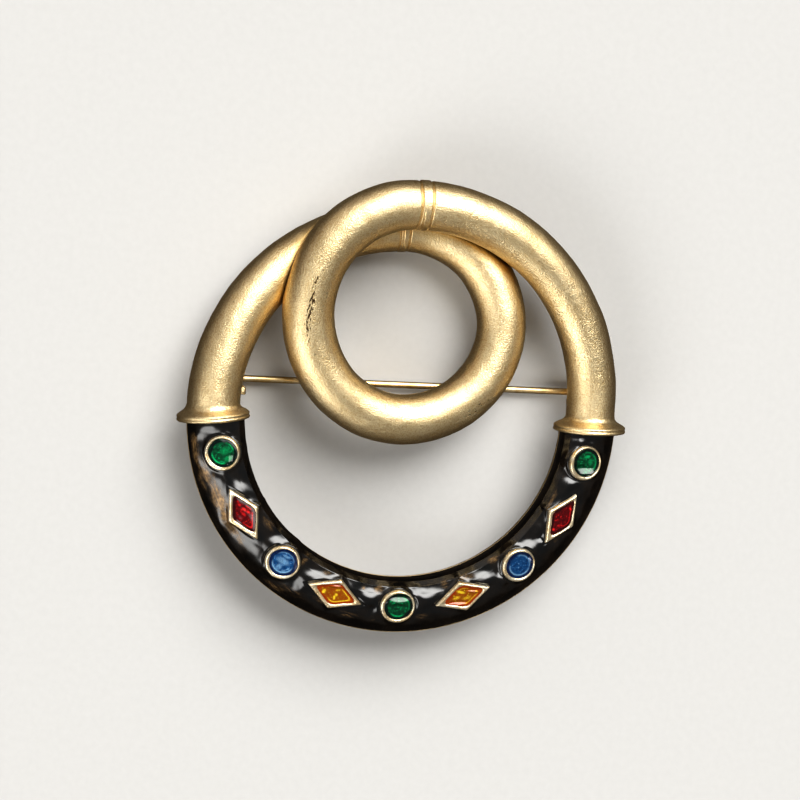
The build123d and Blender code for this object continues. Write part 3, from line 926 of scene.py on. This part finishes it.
pads = {
    # how far a pad leans, in degrees, and towards which side of the page, from the right to the top
    "leans": {"up": (24, 88), "left": (31, -154), "level": (4, -90)},
    "grow": 1.32,             # every reach below is this many times as large
    # turn, distance from the axis, reach along, reach across, lean
    "rows": [
        (-84.9, 22.1, 0.36, 0.70, "left"), (-83.2, 20.6, 0.28, 0.50, "left"),
        (-83.0, 22.9, 0.45, 0.30, "left"), (-77.5, 22.8, 1.10, 0.55, "level"),
        (-75.0, 22.2, 0.70, 0.60, "level"), (-69.6, 21.9, 0.55, 0.60, "left"),
        (-65.5, 22.35, 0.70, 0.30, "left"),
        (-66.6, 20.05, 1.05, 0.75, "up"), (-58.0, 22.7, 1.10, 0.60, "level"),
        (-48.0, 22.05, 1.75, 0.65, "left"), (-45.5, 19.7, 0.75, 0.75, "up"),
        (-27.9, 19.9, 1.10, 0.80, "up"), (-30.2, 21.85, 0.60, 0.60, "left"),
        (-9.0, 19.75, 0.95, 0.90, "up"), (-6.0, 21.4, 0.50, 0.50, "left"),
        (9.7, 19.5, 1.50, 0.90, "up"), (29.8, 19.75, 1.10, 0.75, "up"),
        (34.6, 20.7, 0.40, 0.60, "up"), (47.8, 19.95, 0.80, 0.85, "up"),
        (51.3, 20.65, 0.35, 0.55, "up"), (72.9, 20.3, 0.70, 0.80, "up"),
        (69.5, 20.9, 0.50, 0.50, "up"), (85.9, 20.1, 0.35, 0.90, "up"),
        (84.7, 21.0, 0.40, 0.45, "up"),
    ],
}

glass = {
    "inset": 0.40,
    "level": -0.15,
    "meniscus": 0.045,
    # what the filling has below its top: inset, level, share of the way from its middle to its rim
    "under": [(0.44, -0.30, 1), (0.44, -0.48, 1), (0.77, -0.49, 0.8), (0.77, -0.83, 0.8)],
    "waver": (0.006, 1.0, 90),     # height and wavelength of the top's unevenness, first seed
    # how bright the painted light in the cup's middle is
    "glow": 0.72,
    "step": 0.75,             # the cup's inner step, as a share of the way to the rim
    "stepWidth": 0.05,
    # for each colour: the deep tone, the body tone, and the tone of the painted highlights and flecks
    "colours": {
        "green": ((0.0, 0.006, 0.005, 1), (0.0, 0.085, 0.030, 1), (0.0, 0.50, 0.15, 1)),
        "red": ((0.035, 0.0, 0.001, 1), (0.13, 0.0, 0.002, 1), (0.95, 0.02, 0.02, 1)),
        "blue": ((0.0, 0.009, 0.055, 1), (0.006, 0.080, 0.24, 1), (0.30, 0.57, 0.85, 1)),
        "amber": ((0.34, 0.045, 0.0, 1), (0.31, 0.105, 0.0, 1), (1.0, 0.70, 0.03, 1)),
    },
    # painted highlights where the cup's step gleams: stone, side of the page, reach each way in degrees,
    # strength
    "gleams": [
        (0, -122, 48, 1.0), (0, 42, 24, 0.7), (1, -35, 55, 0.75), (1, 60, 25, 0.9), (2, -110, 75, 0.9),
        (2, 60, 60, 0.35), (3, -55, 95, 1.0), (4, -95, 38, 0.95), (4, 25, 45, 0.45), (5, -30, 45, 0.6),
        (5, 100, 40, 0.5), (6, -95, 80, 0.75), (6, 50, 60, 0.45), (7, -15, 70, 0.5), (8, 10, 42, 0.6),
        (8, 80, 20, 0.4),
    ],
    # painted highlights, bright spots where the cup's floor catches the light: stone, right and up of
    # its middle, two reaches, degrees they are turned by, strength
    "spots": [
        (0, 0.35, 0.30, 0.55, 0.40, 30, 0.35), (0, 0.75, -0.55, 0.45, 0.30, 40, 0.5),
        (1, 0.10, 0.60, 0.30, 0.16, -35, 0.9), (1, 0.55, 0.35, 0.22, 0.14, -35, 0.9),
        (1, -0.45, 1.10, 0.20, 0.14, -35, 0.6), (1, 0.05, 0.10, 0.30, 0.14, -35, 0.6),
        (2, 0.05, 0.25, 0.75, 0.35, -28, 0.55), (2, -0.35, -0.45, 0.45, 0.30, 50, 0.5),
        (2, 0.40, 0.75, 0.45, 0.15, -28, 0.5), (2, 0.15, -0.95, 0.35, 0.18, 20, 0.4),
        (3, -1.20, 0.38, 0.17, 0.26, -30, 1.3), (3, 0.20, 0.02, 0.15, 0.15, 0, 1.2),
        (3, 0.00, -0.32, 0.13, 0.25, 0, 1.3), (3, 0.35, 0.55, 0.30, 0.10, 10, 0.7),
        (5, -0.35, 0.55, 0.50, 0.16, -12, 1.1), (5, -0.75, -0.15, 0.40, 0.20, 20, 0.7),
        (5, 0.45, -0.10, 0.50, 0.20, 20, 0.5), (7, 0.95, 1.15, 0.12, 0.22, 30, 1.1),
        (7, -0.85, -1.20, 0.14, 0.14, 0, 1.2), (7, -0.30, -0.75, 0.20, 0.10, 20, 0.5),
        (8, 0.10, 0.75, 0.35, 0.16, 10, 0.8), (8, 0.50, 0.15, 0.25, 0.35, 10, 0.45),
    ],
    # soft shines: stone, right and up of its middle, two reaches, degrees they are turned by, lean
    "sheens": [
        (0, 1.00, -0.52, 0.70, 0.28, 72, "left"), (1, 0.05, -1.35, 1.05, 0.22, -38, "left"),
        (3, 0.20, 1.08, 0.85, 0.22, 0, "up"), (4, 0.00, 0.92, 1.70, 0.56, 0, "up"),
        (5, -0.50, -0.78, 1.20, 0.26, 3, "up"), (5, 1.00, 0.72, 0.75, 0.18, -5, "up"),
        (8, 0.05, -0.85, 1.60, 0.52, -10, "up"), (6, 1.18, 0.80, 0.50, 0.18, -55, "up"),
    ],
}


def leanSlope(lean):
    # how much a pad or a shine rises per millimetre to the right and to the top of the page
    tilt, azimuth = np.radians(pads["leans"][lean])
    return math.tan(tilt) * np.array([math.cos(azimuth), math.sin(azimuth)])


def spreadOnStone(points, number, right, up, reach, width, turn):
    # spreadFrom for a place right and up of a stone's middle and a turn in degrees
    middle = settingFrame(number)[0][:2] + [right, up]
    return spreadFrom(points, middle, math.radians(turn), reach, width)


def sheenRise(number, points):
    # rise = -(lean - the cell's own slope) . offset from the shine's middle, faded out by exp(-r^4)
    normal = settingFrame(number)[3]
    rise = np.zeros(points.shape[:-1])
    for stone, *place, lean in glass["sheens"]:
        if stone == number:
            offset, spread = spreadOnStone(points, number, *place)
            rise -= np.exp(-spread**2) * (offset @ (leanSlope(lean) - normal[:2] / normal[2]))
    return rise


def cellLight(number, points, spread):
    # Painted light and painted highlights for the cell's colour: how brightly the cup shines through,
    # full in its middle and fading to none at its step, and the bright lines and spots where it catches
    # the light: gleams along its step, faded out towards their two ends, and spots that fade by exp(-r^4).
    middle = points[0].mean(axis=0)
    page = np.degrees(np.arctan2(points[..., 1] - middle[1], points[..., 0] - middle[0]))
    glow = glass["glow"] * (1 - smoothStep(spread, glass["step"] - 0.03, glass["step"] + 0.07))
    glint = np.zeros(page.shape)
    for stone, side, reach, strength in glass["gleams"]:
        if stone == number:
            away = np.abs((page - side + 180) % 360 - 180)
            lit = strength * (1 - smoothStep(away, reach * 0.7, reach * 1.2))
            glint = np.maximum(glint, lit * bump(spread, glass["step"], glass["stepWidth"]))
    for stone, *place, strength in glass["spots"]:
        if stone == number:
            _, away = spreadOnStone(points, number, *place)
            glint = np.maximum(glint, strength * np.exp(-away**2) * (spread < 0.95))
    return np.repeat(glow, page.shape[1], axis=1), glint


def makeGlass(number, name):
    # filled cup: a top that climbs a little at its rim by share^5, and two steps below
    _, inner = settingOutline(stones[number][1], 0)
    share = np.concatenate([[0.02], np.linspace(0.06, 1, 34)])
    inset = inner - share * (inner - glass["inset"])
    level = glass["level"] + glass["meniscus"] * share**5
    base = (inner - 0.1, glass["under"][-1][1], 0.1)
    rows = np.vstack([np.stack([inset, level, share], -1), glass["under"], base])
    points, spread = settingRows(number, rows[:, :2]), rows[:, 2:]
    glow, glint = cellLight(number, points, spread)
    onTop = (np.arange(len(rows)) < len(share))[:, None] * (1 - smoothStep(spread, 0.9, 1.0))
    height, wavelength, seed = glass["waver"]
    uneven = height * ripples(points, wavelength, seed + number)
    points[..., 2] += onTop * (sheenRise(number, points) + uneven)
    return gridPiece(name, {"points": points, "values": {"glow": glow, "glint": glint}})


glassFinish = {
    colour: clearEnamel(colour + "_enamel", *tones) for colour, tones in glass["colours"].items()
}
colourCount = {}
for number, (colour, _, _) in enumerate(stones):
    colourCount[colour] = colourCount.get(colour, 0) + 1
    node = f"{colour}_enamel_{colourCount[colour]}"
    filling = makeGlass(number, f"{colour}_filling_{colourCount[colour]}")
    dress(filling, glassFinish[colour], "brooch", f"{colour}_enamel", node)
bezels = gridPiece("settings", *[{"points": settingRows(k, bezelRows)} for k in range(len(stones))])
dress(bezels, frameGold, "brooch", "bezel_metal", "arc_frame")
print("settings and their coloured enamel made")


# Arc: bare metal back and black enamel

arc = {
    "crestPlace": 19.55,
    "crestLevel": 2.75,
    "wallLevel": 0.4,
    "shoulderLevel": 0.1,
    "backDepth": 1.9,
    "backTuck": 0.8,
    "endLevel": -0.79,
    "stations": 700,
    "sink": 1.1,
    "backStations": 420,
    "innerSide": [(17.83, 1.35), (18.05, 1.88), (18.62, 2.6)],
    "floorLevel": 0.02,
    "castDents": [(0.012, 2.6, 21), (0.006, 0.7, 22)],     # height, wavelength, seed
    "waves": [(0.015, 2.2, 31), (0.004, 0.8, 32)],
    "cornerBlur": 0.04,
    "crownRadius": 5.23,
    "plateauCurve": 0.15,
    "edgeShow": 0.045,        # the metal edge that shows beside the enamel
    "skinLevels": (0.25, 1.0),     # the skin's low relief starts and is full at these levels
    "padMargin": (0.05, 0.35),     # pads fade out towards a setting between these distances
    "sinkMargin": (-0.38, -0.12),  # and the skin goes down inside it between these
    "moat": 0.04,
    "moatPlace": 0.42,
    "moatWidth": 0.34,
    "climb": -0.38,           # the enamel climbs the settings' walls to this level at their rims
    "climbWidth": 0.16,
}


def arcThrough(start, end, heading, count):
    # circle arc from start to end that leaves start along a heading
    start, end, heading = (np.array(v, float) for v in (start, end, heading))
    side = np.array([-heading[1], heading[0]])
    chord = end - start
    radius = chord @ chord / (2 * chord @ side)
    centre = start + radius * side
    first, last = (math.atan2(*(point - centre)[::-1]) for point in (start, end))
    sweep = (last - first + np.pi) % (2 * np.pi) - np.pi
    angle = first + np.linspace(0, 1, count) * sweep
    return centre + abs(radius) * circle(angle)


def endTurns(places):
    # turns at which a circle of each radius meets the planes under the left and the right collar
    tilt = math.radians(scroll["leftTilt"])
    heading = np.array([-math.sin(tilt), math.cos(tilt)])
    offset = heading @ [-scroll["armReach"], -scroll["leftDrop"]] + arc["endLevel"]
    left = tilt - np.arccos(-offset / places)
    return left, np.arccos(-arc["endLevel"] / places)


def roundRing(turn, section):
    # points (distance from the ring's axis, level) put at their turns round the ring
    return np.stack([section[..., 0] * np.sin(turn), -section[..., 0] * np.cos(turn), section[..., 1]], -1)


def sweepArc(section, stations):
    # A section carried round the ring, each of its points along its own circle between the planes of
    # the two collars: the turns, the repeated section and the surface.
    left, right = endTurns(section[:, 0])
    turn = left + (right - left) * np.linspace(0, 1, stations)[:, None]
    sections = np.repeat(section[None], stations, axis=0)
    return turn, sections, roundRing(turn, sections)


innerEdge = ring["radius"] - ring["arcWidth"] / 2
outerEdge = ring["radius"] + ring["arcWidth"] / 2


def closeEnds(surface, values):
    # two more stations at each end, drawn in to the middle of the end face
    rows = []
    for end in (surface[0], surface[-1]):
        middle = end.mean(axis=0)
        rows.append([middle + (end - middle) * shape for shape in (0.1, 0.6)])
    surface = np.vstack([rows[0], surface, rows[1][::-1]])
    values = {key: np.vstack([v[:1], v[:1], v, v[-1:], v[-1:]]) for key, v in values.items()}
    return surface, values


def makeArcBack():
    # bare cast metal behind the enamel, its sides curving in to a flat back
    near = arcThrough((innerEdge, 0), (innerEdge + arc["backTuck"], -arc["backDepth"]), (0, -1), 14)
    far = arcThrough((outerEdge, 0), (outerEdge - arc["backTuck"], -arc["backDepth"]), (0, -1), 14)
    flat = np.linspace(near[-1], far[-1], 26)[1:-1]
    show = arc["edgeShow"]
    rim = np.array([(0, 0.05), (0.02, 0.09), (0.8, 0.11), (1.3, 0.04)]) * [show, 1]
    farRim, nearRim = rim * [-1, 1] + [outerEdge, 0], (rim + [innerEdge, 0])[::-1]
    section = np.vstack([near, flat, far[::-1], farRim, nearRim])
    turn, sections, surface = sweepArc(section, arc["backStations"])
    below = (sections[..., 1] < -0.02)[..., None]
    dents = np.abs(waver(surface, arc["castDents"]))[..., None]
    middle = np.broadcast_to([ring["radius"], 0.0], sections.shape)
    surface = surface - below * dents * unit(surface - roundRing(turn, middle))
    surface, _ = closeEnds(surface, {})
    return gridPiece("arc_back", {"points": surface})


# where the enamel is thin: turn, distance from the axis, reach along, reach across, share
thinPlaces = [
    (-82.0, 23.35, 0.6, 0.28, 1.1), (-77.8, 23.4, 1.6, 0.30, 1.1), (-72.0, 23.1, 1.3, 0.50, 1.0),
    (-67.0, 22.4, 2.0, 0.60, 1.3), (-61.5, 22.4, 1.6, 0.60, 1.3), (-53.5, 22.7, 1.4, 0.45, 1.0),
    (-50.9, 19.05, 1.0, 0.45, 0.6), (-35.0, 23.4, 1.3, 0.28, 0.7), (-33.4, 18.95, 0.28, 0.6, 0.9),
    (-30.7, 22.75, 1.2, 0.35, 0.7), (-25.0, 19.3, 0.4, 0.4, 0.8), (-22.5, 18.75, 0.9, 0.22, 0.7),
    (-22.5, 22.1, 1.2, 0.30, 0.5), (-12.8, 22.6, 1.0, 0.28, 0.7), (-11.2, 19.05, 0.25, 0.28, 1.3),
    (-7.0, 22.5, 0.6, 0.22, 0.9), (-6.2, 19.05, 0.55, 0.5, 1.0), (8.1, 22.05, 0.6, 0.4, 0.7),
    (16.4, 18.85, 0.45, 0.5, 0.9), (24.7, 18.85, 1.0, 0.4, 0.8), (35.4, 18.5, 0.7, 0.4, 0.7),
    (55.0, 22.0, 0.8, 0.4, 0.4), (63.8, 18.8, 1.6, 0.28, 0.5), (74.0, 19.0, 0.9, 0.25, 0.5),
]


def padSlope(place):
    # how steeply the plain dome falls away from the ring's axis at a distance from it
    out = place - arc["crestPlace"]
    return out / math.sqrt(arc["crownRadius"] ** 2 - out * out) if out > 0 else out * arc["plateauCurve"]


def padRelief(points):
    # Each pad is a facet with its own lean: rise = -(lean - dome's slope) . offset from its middle,
    # faded out by exp(-r^2) with r the offset over its reaches.
    rise = np.zeros(points.shape[:-1])
    for turn, place, reachAlong, reachAcross, lean in pads["rows"]:
        turn = math.radians(turn)
        outward = np.array([math.sin(turn), -math.cos(turn)])
        reach = pads["grow"] * np.array([reachAlong, reachAcross])
        offset, spread = spreadFrom(points, place * outward, turn, *reach)
        rise -= np.exp(-spread) * (offset @ (leanSlope(lean) - padSlope(place) * outward))
    return rise


def thinShare(turn, place):
    # sum of bells over the thin places
    total = np.zeros(turn.shape)
    for thinTurn, thinPlace, reachAlong, reachAcross, share in thinPlaces:
        along = (np.degrees(turn) - thinTurn) * np.pi / 180 * ring["radius"]
        total += share * np.exp(-(along / reachAlong) ** 2 - ((place - thinPlace) / reachAcross) ** 2)
    return total


def makeBlackEnamel():
    # Domed skin: a steep inner side, a shoulder and a near level top up to the crest, then an outer
    # arc. It sinks inside each setting, has a shallow moat round it and leaning pads in the gaps.
    crest = (arc["crestPlace"], arc["crestLevel"])
    corners = np.array([(innerEdge, arc["wallLevel"]), *arc["innerSide"], crest])
    marks = np.concatenate([[0], np.cumsum(np.linalg.norm(np.diff(corners, axis=0), axis=1))])
    inner = blurredLine(corners, marks, np.linspace(0, marks[-1], 56), arc["cornerBlur"])
    foot, floor = outerEdge - arc["edgeShow"], arc["floorLevel"]
    outer = arcThrough(crest, (foot, arc["shoulderLevel"]), (1, 0), 66)
    section = np.vstack([
        np.linspace((innerEdge + arc["edgeShow"], floor), inner[0], 5)[:-1],
        inner[:-1],
        outer,
        np.linspace(outer[-1], (foot, floor), 3)[1:],
        np.linspace((foot - 0.3, floor), (innerEdge + 0.3, floor), 5),
    ])
    turn, sections, surface = sweepArc(section, arc["stations"])
    tangent = np.roll(section, -1, axis=0) - np.roll(section, 1, axis=0)
    flatNormal = unit(np.stack([-tangent[:, 1], tangent[:, 0]], -1))
    normal = roundRing(turn, np.repeat(flatNormal[None], arc["stations"], axis=0))
    skin = smoothStep(sections[..., 1], *arc["skinLevels"])
    rise = padRelief(surface)
    sink = np.zeros(turn.shape)
    for number, (_, kind, _) in enumerate(stones):
        middle, along, across, out = settingFrame(number)
        offset = surface - middle
        a, b, h = offset @ along, offset @ across, offset @ out
        if kind == "round":
            away = np.hypot(a, b) - settings["roundRadius"]
        else:
            away = (np.abs(a) / settings["lozengeHalfLength"] + np.abs(b) / settings["lozengeHalfWidth"]
                    - 1) * lozengeInner
        away = np.where((np.abs(a) < 6) & (h > -2.5), away, 9.0)     # 9 is too far to matter
        rise = rise * smoothStep(away, *arc["padMargin"])
        rise -= arc["moat"] * bump(away, arc["moatPlace"], arc["moatWidth"])
        climb = np.clip(arc["climb"] - h, 0, None) * (away < 5)
        rise += climb * np.exp(-np.clip(away, 0, None) / arc["climbWidth"])
        sink = np.maximum(sink, 1 - smoothStep(away, *arc["sinkMargin"]))
    rise += waver(surface, arc["waves"])
    surface = surface + (skin * rise * (1 - sink))[..., None] * normal
    surface[..., 2] -= skin * sink * arc["sink"]
    place = sections[..., 0]
    values = {"thin": thinShare(turn, place), "along": turn * ring["radius"], "out": place}
    surface, values = closeEnds(surface, values)
    return gridPiece("black_enamel_skin", {"points": surface, "values": values})


dress(makeArcBack(), castGold, "brooch", "bezel_metal", "arc_frame")
dress(makeBlackEnamel(), enamelBlack, "brooch", "black_enamel", "black_enamel")


# Floor, light and camera

studio = {
    "floorColour": (0.56, 0.555, 0.545, 1),
    "floorShade": 0.965,      # the darkest of the paper's soft clouds, as a share of its colour
    "floorCloud": 0.8,
    "floorHalf": 2.0,
    "lensFactor": 3716.0 / 800.0,      # focal length over the frame's width
    "cameraPlace": (-78.6, 48.4, 400.1),
    "cameraTurns": (("Z", -3.59), ("X", 6.51), ("Y", 11.05)),
    "skyColour": (1.0, 0.99, 0.965, 1),
    "lowSkyColour": (1.0, 0.80, 0.62, 1),
    "lowSkyTop": 0.40,
    "horizon": 0.10,
    "zenith": 0.17,
    "below": 0.04,
    "groundEdge": (-0.03, 0.01),       # heights between which the sky ends
    # azimuth from the right towards the top, elevation, inner and outer angle, brightness
    "softLights": {
        "key": (71, 48, 7, 28, 9.6),
        "side": (-139, 37, 6, 24, 4.6),
        "wall": (120, 0, 10, 60, 0.5),
    },
}


def makeFloor():
    mesh = bpy.data.meshes.new("floor")
    half = studio["floorHalf"]
    mesh.from_pydata([(-half, -half, 0), (half, -half, 0), (half, half, 0), (-half, half, 0)], [],
                     [(0, 1, 2, 3)])
    floor = addObject("floor", mesh)
    material, tree, shader, place = newMaterial("floor_paper", Roughness=0.85)
    cloud = spreadNoise(tree, addNoise(tree, place, studio["floorCloud"], 4.0))
    shade = tuple(studio["floorShade"] * c for c in studio["floorColour"][:3]) + (1,)
    feed(tree, shader, Base_Color=addMix(tree, cloud, shade, studio["floorColour"]))
    floor.data.materials.append(material)
    floor.visible_glossy = False       # it would turn the gold's edges and the black enamel pale


def makeSky():
    # Soft lights painted on a dome that darkens towards the horizon. Each is full inside its inner
    # angle, none outside its outer one, and 3x^2 - 2x^3 between on the angle's cosine.
    world = bpy.data.worlds.new("studio")
    world.use_nodes = True
    tree = world.node_tree
    way = addNode(tree, "TexCoord").outputs["Generated"]
    height = addNode(tree, "SeparateXYZ", {0: way}).outputs["Z"]
    total = addRange(tree, height, 0.0, 1.0, studio["horizon"], studio["zenith"])
    for azimuth, elevation, inner, outer, brightness in studio["softLights"].values():
        a, e = math.radians(azimuth), math.radians(elevation)
        towards = (math.cos(a) * math.cos(e), math.sin(a) * math.cos(e), math.sin(e))
        facing = addNode(tree, "VectorMath", {0: way, 1: towards}, operation="DOT_PRODUCT").outputs["Value"]
        inputs = {0: facing, 1: math.cos(math.radians(outer)), 2: math.cos(math.radians(inner)),
                  4: brightness}
        glow = addNode(tree, "MapRange", inputs, interpolation_type="SMOOTHSTEP").outputs[0]
        total = addMath(tree, "ADD", total, glow)
    above = addRange(tree, height, *studio["groundEdge"])
    total = addMath(tree, "ADD", addMath(tree, "MULTIPLY", total, above), studio["below"])
    background = tree.nodes["Background"]
    rise = addRange(tree, height, 0.0, studio["lowSkyTop"])
    tree.links.new(addMix(tree, rise, studio["lowSkyColour"], studio["skyColour"]),
                   background.inputs["Color"])
    tree.links.new(total, background.inputs["Strength"])
    bpy.context.scene.world = world


def makeCamera():
    turn = Matrix.Identity(3)
    for axis, angle in studio["cameraTurns"]:
        turn = turn @ Matrix.Rotation(math.radians(angle), 3, axis)
    place = putOnFloor(np.array(studio["cameraPlace"]))
    camera = bpy.data.cameras.new("camera")
    camera.sensor_width = 36
    camera.lens = 36 * studio["lensFactor"]
    camera.clip_start, camera.clip_end = 0.01, 10
    holder = addObject("camera", camera)
    holder.matrix_world = Matrix.Translation(Vector(place)) @ turn.transposed().to_4x4()
    bpy.context.scene.camera = holder


makeFloor()
makeSky()
makeCamera()
bpy.context.scene.view_settings.view_transform = "Standard"
bpy.context.scene.view_settings.look = "Medium High Contrast"
print("floor, sky and camera made")
